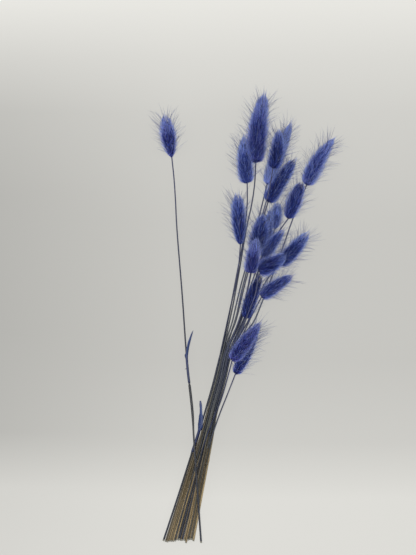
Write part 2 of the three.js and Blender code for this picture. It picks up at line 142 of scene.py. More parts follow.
class HeadLine:
    # The line of a head: from the stem's end to the last corner where six faces or more meet,
    # with the sideways bow that fits the other such corners best (a parabola, 0 at both ends)
    def __init__(self, number, look):
        corners, uses = np.unique(cornersOf(f"head_{number}").round(5), axis=0, return_counts=True)
        core = corners[uses >= 6]
        self.base = stems[number].end
        heading = unit(core.mean(0) - self.base)
        self.tip = core[np.argmax((core - self.base) @ heading)]
        self.chord = self.tip - self.base
        self.length = np.linalg.norm(self.chord)
        share = (core - self.base) @ self.chord / self.length**2
        hump = 4 * share * (1 - share)
        off = core - self.base - share[:, None] * self.chord
        self.bow = (hump[:, None] * off).sum(0) / (hump**2).sum()
        self.radius = look["width"] / 2
        self.low, self.high = look["shape"]
        self.skinAt = np.linspace(0, 1, 400)
        nearTip = smoothStep(crowdLook["tipFrom"], 1, self.skinAt)
        crowd = crowdLook["ends"] + crowdLook["tip"] * nearTip
        skin = np.cumsum(self.girth(self.skinAt) + crowd * self.radius)
        self.skinBelow = (skin - skin[0]) / (skin[-1] - skin[0])
        self.skinArea = 2 * pi * self.girth(self.skinAt).mean() * self.length

    def at(self, t):
        # place and directions at t, which may run a little past the tip
        place = self.base + t[:, None] * self.chord + (4 * t * (1 - t))[:, None] * self.bow
        along = unit(self.chord + (4 - 8 * t)[:, None] * self.bow)
        side, up = crossOf(along)
        return place, along, side, up

    def girth(self, t):
        # radius of the fur: t^low (1-t)^high, scaled so that its highest value is the radius,
        # and not narrowing all the way to nothing at the tip
        t = np.clip(t, 0, 0.997)
        peak = self.low / (self.low + self.high)
        highest = peak**self.low * (1 - peak)**self.high
        return self.radius * (t**self.low * (1 - t)**self.high) / highest

    def point(self, t, angle, share):
        # the place at t along, at an angle round the line, at a share of the fur's radius
        place, along, side, up = self.at(t)
        out = np.cos(angle)[:, None] * side + np.sin(angle)[:, None] * up
        return place + (share * self.girth(t))[:, None] * out

    def spread(self, shares):
        # places t that spread shares from 0 to 1 evenly over the head's skin
        return np.interp(shares, self.skinBelow, self.skinAt)

    def shareOf(self, points):
        # where points lie: t along, how far out as a share of the fur's radius, and the line there.
        # At both ends the fur's radius counts as a fifth of the head's at least.
        t = (points - self.base) @ self.chord / self.length**2
        place = self.at(t)[0]
        fur = np.maximum(self.girth(np.clip(t, 0.03, 0.97)), 0.2 * self.radius)
        return t, np.linalg.norm(points - place, axis=1) / fur, place


# Heads: the fur's width, exponents of its outline at base and tip (small is blunt), how light
# the dye came out, how much lighter the tip is (below 0 darker), partly the dye and partly painted
# light, and the share of violet hairs
heads = {
    "01": {"width": 13.2 * mm, "shape": (0.75, 0.60), "tone": 0.10, "crown": 1.25, "violet": 0.45},
    "02": {"width": 16.5 * mm, "shape": (0.25, 0.45), "tone": 0.10, "crown": 0.80, "violet": 0.40},
    "03": {"width": 13.5 * mm, "shape": (0.27, 0.50), "tone": 0.22, "crown": 1.20, "violet": 0.10},
    "04": {"width": 12.2 * mm, "shape": (0.30, 0.56), "tone": -0.04, "crown": 0.85, "violet": 0.10},
    "05": {"width": 11.5 * mm, "shape": (0.25, 0.50), "tone": 0.95, "crown": 1.40, "violet": 0.20},
    "06": {"width": 13.4 * mm, "shape": (0.25, 0.47), "tone": 0.00, "crown": 0.40, "violet": 0.10},
    "07": {"width": 13.8 * mm, "shape": (0.30, 0.66), "tone": 0.34, "crown": 0.65, "violet": 0.25},
    "08": {"width": 13.4 * mm, "shape": (0.42, 0.50), "tone": 0.14, "crown": 0.05, "violet": 0.25},
    "09": {"width": 12.2 * mm, "shape": (0.52, 0.38), "tone": 0.08, "crown": 0.60, "violet": 0.10},
    "10": {"width": 15.5 * mm, "shape": (0.36, 0.56), "tone": -0.04, "crown": 0.65, "violet": 0.10},
    "11": {"width": 10.0 * mm, "shape": (0.60, 0.50), "tone": 0.42, "crown": 1.20, "violet": 0.02},
    "12": {"width": 9.5 * mm, "shape": (0.40, 0.56), "tone": 0.46, "crown": 1.00, "violet": 0.02},
    "13": {"width": 11.5 * mm, "shape": (0.30, 0.60), "tone": 0.14, "crown": 0.50, "violet": 0.10},
    "14": {"width": 12.5 * mm, "shape": (0.25, 0.42), "tone": 0.16, "crown": 1.15, "violet": 0.55},
    "15": {"width": 15.0 * mm, "shape": (0.25, 0.48), "tone": -0.07, "crown": 0.70, "violet": 0.20},
    "16": {"width": 12.8 * mm, "shape": (0.30, 0.48), "tone": 0.02, "crown": 0.90, "violet": 0.10},
    "17": {"width": 12.0 * mm, "shape": (0.30, 0.52), "tone": 0.14, "crown": 0.25, "violet": 0.30},
    "18": {"width": 10.5 * mm, "shape": (0.30, 0.46), "tone": -0.12, "crown": -0.25, "violet": 0.10},
    "19": {"width": 12.5 * mm, "shape": (0.30, 0.55), "tone": 0.16, "crown": 0.45, "violet": 0.60},
    "20": {"width": 10.2 * mm, "shape": (0.30, 0.55), "tone": 0.04, "crown": 0.50, "violet": 0.25},
}

stems = {number: StemLine(number) for number in heads}
lines = {number: HeadLine(number, look) for number, look in heads.items()}
print("frame read:", len(lines), "heads")


# Meshes from arrays
def makeMesh(name, points, groups):
    # groups: arrays of faces with their corners' map places, (faces, uv) for triangles or quads
    mesh = bpy.data.meshes.new(name)
    corners = np.concatenate([faces.ravel() for faces, uv in groups])
    sizes = np.concatenate([np.full(len(faces), faces.shape[1]) for faces, uv in groups])
    starts = np.concatenate([[0], np.cumsum(sizes)[:-1]])
    mesh.vertices.add(len(points))
    mesh.vertices.foreach_set("co", np.asarray(points, np.float32).ravel())
    mesh.loops.add(len(corners))
    mesh.loops.foreach_set("vertex_index", corners.astype(np.int32))
    mesh.polygons.add(len(sizes))
    mesh.polygons.foreach_set("loop_start", starts.astype(np.int32))
    mesh.polygons.foreach_set("use_smooth", np.full(len(sizes), True))
    places = np.concatenate([uv.reshape(-1, 2) for faces, uv in groups])
    layer = mesh.uv_layers.new(name="OFBake")
    layer.data.foreach_set("uv", places.astype(np.float32).ravel())
    mesh.update(calc_edges=True)
    mesh.validate()
    return mesh


def addPiece(name, parts, material, slot, *replaced):
    # parts: (points, groups) of closed surfaces, joined into one mesh. Returns its triangles.
    points, groups, start = [], [], 0
    for some, faces in parts:
        points.append(some)
        groups += [(face + start, uv) for face, uv in faces]
        start += len(some)
    mesh = makeMesh(name, np.vstack(points), groups)
    mesh.materials.append(material)
    piece = bpy.data.objects.new(name, mesh)
    scene.collection.objects.link(piece)
    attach(piece, "root")
    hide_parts(*replaced)
    return sum(len(faces) * (faces.shape[1] - 2) for faces, uv in groups)


def gridFaces(rows, across, u, v, closed=False):
    # quads of a grid of rows x across corners, with u across and v along; closed joins its sides
    i, k = np.meshgrid(np.arange(rows - 1), np.arange(across if closed else across - 1), indexing="ij")
    i, k = i.ravel(), k.ravel()
    n = (k + 1) % across
    faces = np.stack([i * across + k, i * across + n, (i + 1) * across + n, (i + 1) * across + k], 1)
    wide = np.stack([u[k], u[k + 1], u[k + 1], u[k]], 1)
    high = np.stack([v[i], v[i], v[i + 1], v[i + 1]], 1)
    return faces, np.stack([wide, high], 2)


# Materials
def newMaterial(name, roughness, specular, sheen=0.0, sheenTint=(1, 1, 1, 1)):
    # a material with these plain values, and its node tree and shader to link colours to
    material = bpy.data.materials.new(name)
    material.use_nodes = True
    shader = material.node_tree.nodes["Principled BSDF"]
    shader.inputs["Roughness"].default_value = roughness
    shader.inputs["Specular IOR Level"].default_value = specular
    shader.inputs["Sheen Weight"].default_value = sheen
    shader.inputs["Sheen Roughness"].default_value = 0.5
    shader.inputs["Sheen Tint"].default_value = sheenTint
    return material, material.node_tree, shader


def addNode(tree, kind, **values):
    # a node with the named settings or unlinked sockets set
    node = tree.nodes.new(kind)
    for key, value in values.items():
        if key in node.inputs:
            node.inputs[key].default_value = value
        else:
            setattr(node, key, value)
    return node


def addRamp(tree, factor, stops):
    # colour stops (place, red, green, blue) read at factor
    node = tree.nodes.new("ShaderNodeValToRGB")
    marks = node.color_ramp.elements
    while len(marks) < len(stops):
        marks.new(0.5)
    for mark, (place, *colour) in zip(marks, stops):
        mark.position = place
        mark.color = (*colour, 1)
    tree.links.new(factor, node.inputs["Fac"])
    return node.outputs["Color"]


def addMath(tree, operation, first, second=0.0):
    # operation on two values, each a socket or a number
    node = tree.nodes.new("ShaderNodeMath")
    node.operation = operation
    for socket, value in zip(node.inputs, (first, second)):
        if isinstance(value, float):
            socket.default_value = value
        else:
            tree.links.new(value, socket)
    return node.outputs["Value"]


def addMix(tree, factor, first, second, blend="MIX"):
    # colours mixed by factor, each a socket or a number
    node = addNode(tree, "ShaderNodeMix", data_type="RGBA", blend_type=blend)
    sockets = (node.inputs[0], node.inputs[6], node.inputs[7])    # the factor and two colours
    for socket, value in zip(sockets, (factor, first, second)):
        if isinstance(value, (float, tuple)):
            socket.default_value = value
        else:
            tree.links.new(value, socket)
    return node.outputs[2]


def mapPlace(tree):
    # the piece's own map: u and v
    place = addNode(tree, "ShaderNodeUVMap", uv_map="OFBake")
    split = addNode(tree, "ShaderNodeSeparateXYZ")
    tree.links.new(place.outputs["UV"], split.inputs["Vector"])
    return split.outputs["X"], split.outputs["Y"]


def makeStreaks():
    # noise drawn out along a piece: noise of (u x across, v x along), from 0 to 1
    group = bpy.data.node_groups.new("streaks", "ShaderNodeTree")
    for name in ("U", "V", "Across", "Along"):
        group.interface.new_socket(name, in_out="INPUT", socket_type="NodeSocketFloat")
    group.interface.new_socket("Streaks", in_out="OUTPUT", socket_type="NodeSocketFloat")
    enter = group.nodes.new("NodeGroupInput").outputs
    join = group.nodes.new("ShaderNodeCombineXYZ")
    group.links.new(addMath(group, "MULTIPLY", enter["U"], enter["Across"]), join.inputs["X"])
    group.links.new(addMath(group, "MULTIPLY", enter["V"], enter["Along"]), join.inputs["Y"])
    noise = addNode(group, "ShaderNodeTexNoise", Scale=1.0, Detail=3.0, Roughness=0.6)
    group.links.new(join.outputs["Vector"], noise.inputs["Vector"])
    group.links.new(noise.outputs["Fac"], group.nodes.new("NodeGroupOutput").inputs["Streaks"])
    return group


def addStreaks(tree, shader, u, v, grain):
    # places the streaks in a material, raises its surface by them and gives them back
    node = addNode(tree, "ShaderNodeGroup", node_tree=streakGroup)
    node.inputs["Across"].default_value = grain["across"]
    node.inputs["Along"].default_value = grain["along"]
    tree.links.new(u, node.inputs["U"])
    tree.links.new(v, node.inputs["V"])
    bump = addNode(tree, "ShaderNodeBump", Strength=grain["bump"], Distance=0.05 * mm)
    tree.links.new(node.outputs["Streaks"], bump.inputs["Height"])
    tree.links.new(bump.outputs["Normal"], shader.inputs["Normal"])
    return node.outputs["Streaks"]


streakGroup = makeStreaks()

# Fur: across the map lie three sorts of hair, blue, violet and the grey needles, each from dark
# to light; up the map each hair runs from its root to its tip. The darker root colours are partly
# the dye and partly painted shade, for the shade deep in the fur
furLook = {
    # places across the map with their colours, at the root, darker partly by the dye and partly by
    # painted shade, and at the tip
    "rootStops": [(0.00, 0.003, 0.005, 0.028), (0.16, 0.021, 0.042, 0.27), (0.33, 0.17, 0.26, 0.82),
                  (0.34, 0.007, 0.006, 0.030), (0.50, 0.044, 0.041, 0.265), (0.66, 0.24, 0.24, 0.76),
                  (0.67, 0.030, 0.036, 0.11), (1.00, 0.16, 0.18, 0.36)],
    "tipStops": [(0.00, 0.007, 0.012, 0.11), (0.16, 0.072, 0.135, 0.68), (0.33, 0.47, 0.60, 0.94),
                 (0.34, 0.018, 0.015, 0.12), (0.50, 0.135, 0.130, 0.68), (0.66, 0.56, 0.56, 1.00),
                 (0.67, 0.06, 0.075, 0.19), (1.00, 0.28, 0.33, 0.56)],
    "tipPower": 1.5,           # how late along a hair its tip's colour comes
    "roughness": 0.85,
    "specular": 0.1,
    "sheen": 0.03,
    "sheenTint": (0.45, 0.55, 1, 1),
}


def makeFurMaterial(look):
    # mix of the root's and the tip's colour by v to a power
    material, tree, shader = newMaterial("furDyeAndPaintedLight", look["roughness"], look["specular"], look["sheen"],
                                         look["sheenTint"])
    u, v = mapPlace(tree)
    root = addRamp(tree, u, look["rootStops"])
    tip = addRamp(tree, u, look["tipStops"])
    colour = addMix(tree, addMath(tree, "POWER", v, look["tipPower"]), root, tip)
    tree.links.new(colour, shader.inputs["Base Color"])
    return material


# Hairs of a head. thick is a hair's radius at its root, and root is how far up the map it starts,
# so how much of the tip's colour it has there, and how little of the root's painted shade.
hairLook = {
    # a plume of soft body fur
    "plume": {
        "area": 3.0 * mm**2,         # skin for each plume
        "each": 12,                  # hairs in it
        "core": 0.7,                 # where it starts and ends, as shares of the fur's radius
        "edge": 0.88,
        "rough": 0.03,               # scatter of that end
        "least": 3.4 * mm,           # how far forward it runs, and the head's length x long more
        "long": 0.15,
        "wide": 0.5 * mm,            # how far its hairs spread
        "reach": (0.42, 1.15),       # how far along it they end
        "scatter": 0.018,            # scatter of the plumes' ends along the head
        "turn": 0.25,                # and round it
        "swirl": 0.16,               # how far a plume turns round the head on its way out
        "tone": (-0.16, 0.10),       # middle and scatter of its lightness
        # painted light and shade: the next key makes hairs that reach further out lighter and deep ones
        # darker
        "rise": 0.4,                 # how much lighter the hairs are that reach further out
        # painted light: the next key makes hairs down the head's sides, its edges seen from above,
        # lighter
        "paintedRimLight": 0.2,                # and those down the head's sides, where light comes through
        "grain": 0.14,               # scatter from hair to hair
        "thick": 0.08 * mm,
        "root": 0.15,
    },
    # a thin lock that stands proud of the plumes; its hairs are lighter than the plumes', painted light
    # for the light that comes through the thin fringe
    "lock": {
        "area": 1.2 * mm**2, "each": 4, "core": 0.8, "edge": 1.3, "rough": 0.16,
        "least": 2.4 * mm, "long": 0.08, "wide": 0.3 * mm, "reach": (0.5, 1.2),
        "scatter": 0.018, "turn": 0.25, "swirl": 0.16,
        "tone": (0.12, 0.12), "rise": 1.15, "paintedRimLight": 0.55, "grain": 0.12,
        "thick": 0.055 * mm, "root": 0.4,
    },
    # a hair between the plumes; perArea is their number for a square metre of skin
    "single": {
        "perArea": 0.5e6, "core": 0.5, "edge": 0.74, "rough": 0.08, "most": 1.04,
        "long": 0.13, "turn": 0.12, "tone": (-0.08, 0.09), "thick": 0.065 * mm, "root": 0.05,
    },
    "needle": {
        "every": 0.3 * mm,           # one for this much of the head's length
        "core": 0.6,                 # where it starts, as a share of the fur's radius
        "last": 0.9,                 # the last one's place along the head
        "long": (8 * mm, 18 * mm),   # outside the fur
        "slope": (32, 66),           # degrees between it and the head's line
        "turn": 0.4,
        "sway": 0.15,                # how far it bends any way, and along the head
        "bend": (-0.4, 0.35),
        "tone": 0.2,
        "thick": 0.12 * mm,
        "root": 0.2,
    },
    "foot": {"to": 0.22, "lighter": 0.18, "violet": 0.6},    # the paler, more violet lower end
    "crown": (0.55, 0.45),       # where along a head its tip starts to be lighter, and for how long
    "innerFur": 0.8,             # share of a head's radius that the others' hairs stay out of
    "floorGap": 0.25 * mm,
    "stemGap": 0.12 * mm,
    "neck": 4 * mm,              # its own stem's end, which a head's hairs may touch
}
goldenTurn = pi * (3 - 5**0.5)
pastTip = 1.02                   # hairs end up to this far along a head


# Every sort of hair gives paths, places t along the head and tones
def plumeHairs(line, look, draw):
    # A plume is a line from the core forward and outward to the fur's edge. Its hairs run along
    # it and spread like a feather. It narrows to its tip, where fewer and fewer hairs reach.
    plumes = int(line.skinArea / look["area"])
    count = np.arange(plumes)
    tTip = line.spread((count + 0.5) / plumes) * pastTip
    ragged = 1 + 1.4 * smoothStep(0.8, 1, tTip)    # more scatter near the head's tip
    tTip += draw.normal(0, look["scatter"], plumes) * ragged
    angle = count * goldenTurn + draw.normal(0, look["turn"], plumes)
    lean = (look["least"] / line.length + look["long"]) * draw.uniform(0.8, 1.25, plumes)
    tRoot = np.maximum(tTip - lean, 0.012 + 0.05 * draw.random(plumes))
    edge = look["edge"] + draw.normal(0, look["rough"], plumes)
    twist = draw.normal(0, look["swirl"], plumes)
    tone = draw.normal(*look["tone"], plumes)
    # painted light: plumes down the head's sides, its edges seen from above, are lighter, as if light
    # came through the fur there
    tone += look["paintedRimLight"] * np.cos(angle)**4 * (0.4 + 0.6 * smoothStep(0, 0.4, tTip))

    # near and far are where along its plume a hair starts and ends
    which = np.repeat(count, look["each"])
    least, most = look["reach"]
    far = least + (most - least) * (1 - np.sqrt(1 - draw.random(len(which))))
    near = np.maximum(far - draw.uniform(0.45, 0.7, len(which)), 0)
    sideways = look["wide"] * (1.3 - far**2) * draw.uniform(-1, 1, len(which))

    def onPlume(f, offset, rough):
        # t and place at f along the plumes, turned aside by offset over the girth
        t = tRoot[which] + (tTip[which] - tRoot[which]) * f
        share = look["core"] + (edge[which] - look["core"]) * f**0.85
        aside = offset / np.maximum(line.girth(t), 0.25 * line.radius)
        return t, line.point(t, angle[which] + twist[which] * f + aside, share * rough)

    _, roots = onPlume(near, 0.35 * sideways, 1)
    t, tips = onPlume(far, sideways, 1 + draw.normal(0, 0.02, len(which)))
    # painted light and shade: hairs that reach further out are lighter, those that stay deep darker
    tone = tone[which] + draw.normal(0, look["grain"], len(t)) + look["rise"] * (far - 0.65)
    return np.stack([roots, tips], 1), t, tone


def singleHairs(line, look, draw):
    # hairs at random places, from the core forward and out, a little lower than the plumes reach
    count = int(look["perArea"] * line.skinArea)
    t = line.spread(draw.random(count)) * pastTip
    lean = look["long"] * draw.uniform(0.6, 1.2, count)
    start = np.maximum(t - lean, 0.01 + 0.04 * draw.random(count))
    turn = draw.uniform(0, 2 * pi, count)
    share = np.minimum(look["edge"] + draw.normal(0, look["rough"], count), look["most"])
    roots = line.point(start, turn, np.full(count, look["core"]))
    tips = line.point(t, turn + draw.normal(0, look["turn"], count), share)
    return np.stack([roots, tips], 1), t, draw.normal(*look["tone"], count)


def needleHairs(line, look, draw):
    # Needles of four points, in three steps of about a third each. They leave the fur at 32 to 66
    # degrees, at half of that by the tip, and bend a little any way and along the head.
    count = int(line.length / look["every"])
    t = np.clip((np.arange(count) + draw.random(count)) / count * look["last"], 0.05, look["last"])
    turn = np.arange(count) * goldenTurn + draw.normal(0, look["turn"], count)
    place, along, side, up = line.at(t)
    out = np.cos(turn)[:, None] * side + np.sin(turn)[:, None] * up
    start = place + (look["core"] * line.girth(t))[:, None] * out
    slope = np.radians(draw.uniform(*look["slope"], count) * (1 - 0.5 * t**3))[:, None]
    heading = np.cos(slope) * along + np.sin(slope) * out
    hidden = (1 - look["core"]) * line.girth(t) / np.sin(slope[:, 0])
    size = (hidden + draw.uniform(*look["long"], count))[:, None]
    sway = draw.normal(0, look["sway"], (count, 3))
    bend = unit(heading + (sway + along * draw.uniform(*look["bend"], count)[:, None]))
    second = start + heading * size * 0.35
    third = second + unit(heading + bend) * size * 0.33
    last = third + bend * size * 0.32
    return np.stack([start, second, third, last], 1), t, draw.normal(0, look["tone"], count)


def pushOut(points, number, look):
    # Moves points of a head's hairs straight out of the other heads' inner fur and the stems, and
    # up from the floor: below twice the gap, the height is gap + gap e^(height / gap - 2)
    inner = look["innerFur"]
    for other, line in lines.items():
        if other == number:
            continue
        t, share, place = line.shareOf(points)
        inside = (share < inner) & (t > 0) & (t < 1)
        away = points[inside] - place[inside]
        points[inside] = place[inside] + away * (inner / np.maximum(share[inside], 0.05))[:, None]
    reach = 2 * mm    # parts of a stem further off are skipped
    for other, stem in stems.items():
        close = ((stem.path > points.min(0) - reach) & (stem.path < points.max(0) + reach)).all(1)
        if other == number:
            close &= np.linalg.norm(stem.path - lines[number].base, axis=1) > look["neck"]
        if not close.any():
            continue
        path = stem.path[close]
        thick = stem.radii[close] + look["stemGap"]
        near = ((points > path.min(0) - reach) & (points < path.max(0) + reach)).all(1)
        part = points[near]
        gap = np.linalg.norm(part[:, None] - path[None], axis=2)
        nearest = gap.argmin(1)
        hit = gap[np.arange(len(part)), nearest] < thick[nearest]
        away = unit(part[hit] - path[nearest[hit]] + 1e-9)
        part[hit] = path[nearest[hit]] + away * thick[nearest[hit]][:, None]
        points[near] = part
    floor = look["floorGap"]
    low = points[:, 2] < 2 * floor
    points[low, 2] = floor + floor * np.exp(points[low, 2] / floor - 2)
    return points


def hairTubes(paths, thick, column, low):
    # Three-sided hairs that taper to a point, along paths of two or more points, closed at the
    # root. column is a hair's place across the map, low the place of its root up the map.
    hairs, steps = paths.shape[:2]
    wide = 0.003                      # of one side on the map
    slanting = (0.31, 0.22, 0.93)     # hardly any hair runs along this
    along = unit(np.diff(paths, axis=1))
    along = np.concatenate([along[:, :1], along], 1)[:, :steps - 1]
    side = unit(np.cross(along, slanting))
    up = np.cross(along, side)
    taper = (1 - np.arange(steps - 1) / (steps - 1) * 0.5)[None, :, None, None]
    angle = np.arange(3) * 2 * pi / 3
    ring = np.cos(angle)[:, None] * side[:, :, None] + np.sin(angle)[:, None] * up[:, :, None]
    rings = paths[:, :-1, None] + ring * taper * thick[:, None, None, None]
    each = 3 * (steps - 1) + 1
    points = np.concatenate([rings.reshape(hairs, -1, 3), paths[:, -1:]], 1).reshape(-1, 3)
    first = (np.arange(hairs) * each)[:, None]
    k = np.arange(3)
    n = (k + 1) % 3
    left, right = k * wide, (k + 1) * wide
    rise = low[:, None] + (1 - low)[:, None] * np.arange(steps) / (steps - 1)
    cap = np.broadcast_to(first + [0, 2, 1], (hairs, 3))
    capU = column[:, None] + np.array([0, 2 * wide, wide])
    capV = np.stack([low, low, low + 0.01], 1)
    groups = [(cap, np.stack([capU, capV], 2))]
    for step in range(steps - 2):
        a = 3 * step
        quads = np.stack([a + k, a + n, a + 3 + n, a + 3 + k], 1)
        faces = (first[:, :, None] + quads[None]).reshape(-1, 4)
        u = np.stack([left, right, right, left], 1)[None] + column[:, None, None]
        v = np.stack([rise[:, step], rise[:, step], rise[:, step + 1], rise[:, step + 1]], 1)
        v = np.broadcast_to(v[:, None], (hairs, 3, 4))
        groups.append((faces, np.stack([u, v], 3).reshape(-1, 4, 2)))
    a = 3 * (steps - 2)
    tri = np.stack([a + k, a + n, np.full(3, each - 1)], 1)
    faces = (first[:, :, None] + tri[None]).reshape(-1, 3)
    u = np.stack([left, right, (left + right) / 2], 1)[None] + column[:, None, None]
    v = np.stack([rise[:, -2], rise[:, -2], rise[:, -1]], 1)
    v = np.broadcast_to(v[:, None], (hairs, 3, 3))
    groups.append((faces, np.stack([u, v], 3).reshape(-1, 3, 2)))
    return points, groups


# The dark inside of a head: a solid body in the fur's middle whose dark colour is painted shade, for the
# shade deep in the fur
coreLook = {
    "rows": 22,
    "around": 16,
    "share": 0.6,                # of the fur's radius
    "start": 0.012,              # where it starts along the head, how long it is, where it closes
    "long": 0.82,
    "end": 0.86,
    "floorGap": 0.1 * mm,
    "tone": 0.05,
    "lighter": 0.4,              # how far up the map its tip lies
    "violetFrom": 0.4,           # it is violet in a head with more violet hairs than this
}


def coreBody(line, look, column):
    # Its outline at a share of the fur's radius, on a grid of t and angle, closed at both ends
    rows, around = look["rows"], look["around"]
    share = np.linspace(0, 1, rows)
    t = look["start"] + look["long"] * share
    angle = np.arange(around) * 2 * pi / around
    tGrid, angleGrid = np.meshgrid(t, angle, indexing="ij")
    points = line.point(tGrid.ravel(), angleGrid.ravel(), np.full(rows * around, look["share"]))
    points[:, 2] = np.maximum(points[:, 2], look["floorGap"])
    points = np.vstack([points, line.at(np.array([0.0, look["end"]]))[0]])
    low, high, wide = 0.02, 0.04, 0.01    # its strip of the map
    u = column + wide * np.linspace(0, 1, around + 1)
    v = low + look["lighter"] * share**6
    body, bodyPlaces = gridFaces(rows, around, u, v, closed=True)
    ring = np.arange(around)
    after = (ring + 1) % around
    top = (rows - 1) * around
    first = np.stack([after, ring, np.full(around, rows * around)], 1)
    last = np.stack([top + ring, top + after, np.full(around, rows * around + 1)], 1)
    corner = np.array([[column, low], [column + wide, low], [column, high]])
    foot, tip = [np.broadcast_to(corner + [0, rise], (around, 3, 2)) for rise in (0, look["lighter"])]
    return points, [(body, bodyPlaces), (first, foot), (last, tip)]


def columnOf(tone, violet):
    # place across the map: blue hairs in the first third, violet ones in the second
    return np.clip(tone, 0.02, 0.95) / 3 + np.where(violet, 0.34, 0)


def makeHead(number, look, hair, core, material):
    # The core, dark as painted shade, and four sorts of hair. Tone = head's + hair's, with its painted
    # light, + crown up to the tip, partly painted light, + foot's; a hair is violet by chance, more
    # often at the foot. Needles take the map's last third.
    line = lines[number]
    draw = np.random.default_rng(40 + int(number))
    lowEnd = hair["foot"]
    crownFrom, crownLong = hair["crown"]
    parts = [coreBody(line, core, columnOf(core["tone"], look["violet"] > core["violetFrom"]))]
    sorts = {"plume": plumeHairs, "lock": plumeHairs, "single": singleHairs, "needle": needleHairs}
    for sort, makeHairs in sorts.items():
        paths, t, tone = makeHairs(line, hair[sort], draw)
        count, steps = paths.shape[:2]
        paths = pushOut(paths.reshape(-1, 3), number, hair).reshape(count, steps, 3)
        if sort == "needle":
            column = 0.8 + np.clip(tone, -0.22, 0.34) / 2
        else:
            foot = np.clip(1 - t / lowEnd["to"], 0, 1)
            crown = np.clip((t - crownFrom) / crownLong, 0, 1)
            tone = look["tone"] + tone + look["crown"] * crown + lowEnd["lighter"] * foot
            chance = look["violet"] * (0.7 + lowEnd["violet"] * foot)
            column = columnOf(tone, draw.random(count) < chance)
        thick = hair[sort]["thick"] * draw.uniform(0.75, 1.2, count)
        root = hair[sort]["root"] * draw.uniform(0.8, 1.5, count)
        parts.append(hairTubes(paths, thick, column, root))
    return addPiece(f"fur_{number}", parts, material, "fur", f"head_{number}")


furMaterial = makeFurMaterial(furLook)
counted = sum(makeHead(number, look, hairLook, coreLook, furMaterial)
              for number, look in heads.items())
print("fur ready:", counted, "triangles")


# Straws: round hollow stems with one swollen joint low down, running on into their heads
strawLook = {
    "sides": 10,
    "step": 4 * mm,              # from ring to ring
    "fit": 0.95,                 # radius as a share of the solid's corner radius
    "inHead": 3 * mm,            # how far it runs on
    "bore": 0.6,                 # radius of the hollow as a share, seen at the cut end
    "boreDeep": 3 * mm,
    # the joint lies between these heights over the cut end, or just under a leaf's sheath
    "joint": {"from": 38 * mm, "to": 95 * mm, "under": 1.2 * mm, "swell": 0.17 * mm, "long": 1.1 * mm},
    # the tight lower sheath on one straw, below its joint
    "sleeve": {"straw": "01", "long": 44 * mm, "fade": 20 * mm, "swell": 0.42 * mm},
    "shadeDraw": 71.0,           # another number draws other shades for the straws
    # up a straw from the cut end at 0 to the neck at 1
    "stops": [(0.0, 0.046, 0.042, 0.036), (0.28, 0.031, 0.027, 0.020), (0.5, 0.013, 0.016, 0.021),
              (0.75, 0.009, 0.013, 0.034), (1.0, 0.020, 0.024, 0.070)],
    # what the streaks multiply it by, and the straws' own differences
    "streaks": [(0.3, 0.35, 0.35, 0.40), (0.5, 1.0, 1.0, 1.0), (0.72, 3.0, 2.7, 2.2)],
    "shades": [(0.0, 0.35, 0.45, 0.80), (0.3, 0.50, 0.65, 1.20), (0.55, 1.1, 1.1, 1.0),
               (0.75, 3.8, 3.2, 2.1), (1.0, 5.6, 4.9, 3.3)],
    "plainNeck": 3.0,            # how late up a straw its own shade gives way
    "cutColour": (0.24, 0.23, 0.19, 1),
    "cutHigh": 0.004,            # the cut end and the hollow lie below this on the map
    "grain": {"across": 420.0, "along": 7.0, "bump": 0.5},
    "roughness": 0.42,
    "specular": 0.28,
}
sheathFoot = {"01": "leaf_01", "09": "leaf_02"}    # stems whose joint lies under a leaf's sheath


def makeStrawMaterial(look):
    # Each straw has its strip of the map. Its colour follows v, times the streaks, times the
    # strip's own shade, which gives way to none as v to a power nears the neck.
    material, tree, shader = newMaterial("dyedStraw", look["roughness"], look["specular"])
    u, v = mapPlace(tree)
    colour = addRamp(tree, v, look["stops"])
    streaks = addRamp(tree, addStreaks(tree, shader, u, v, look["grain"]), look["streaks"])
    colour = addMix(tree, 1.0, colour, streaks, "MULTIPLY")
    strip = addMath(tree, "FLOOR", addMath(tree, "MULTIPLY", u, float(len(heads) + 1)))
    odd = addNode(tree, "ShaderNodeTexWhiteNoise", noise_dimensions="1D")
    tree.links.new(addMath(tree, "ADD", strip, look["shadeDraw"]), odd.inputs["W"])
    shown = addMath(tree, "SUBTRACT", 1.0, addMath(tree, "POWER", v, look["plainNeck"]))
    colour = addMix(tree, shown, colour, addRamp(tree, odd.outputs["Value"], look["shades"]), "MULTIPLY")
    colour = addMix(tree, addMath(tree, "LESS_THAN", v, look["cutHigh"]), colour, look["cutColour"])
    tree.links.new(colour, shader.inputs["Base Color"])
    return material


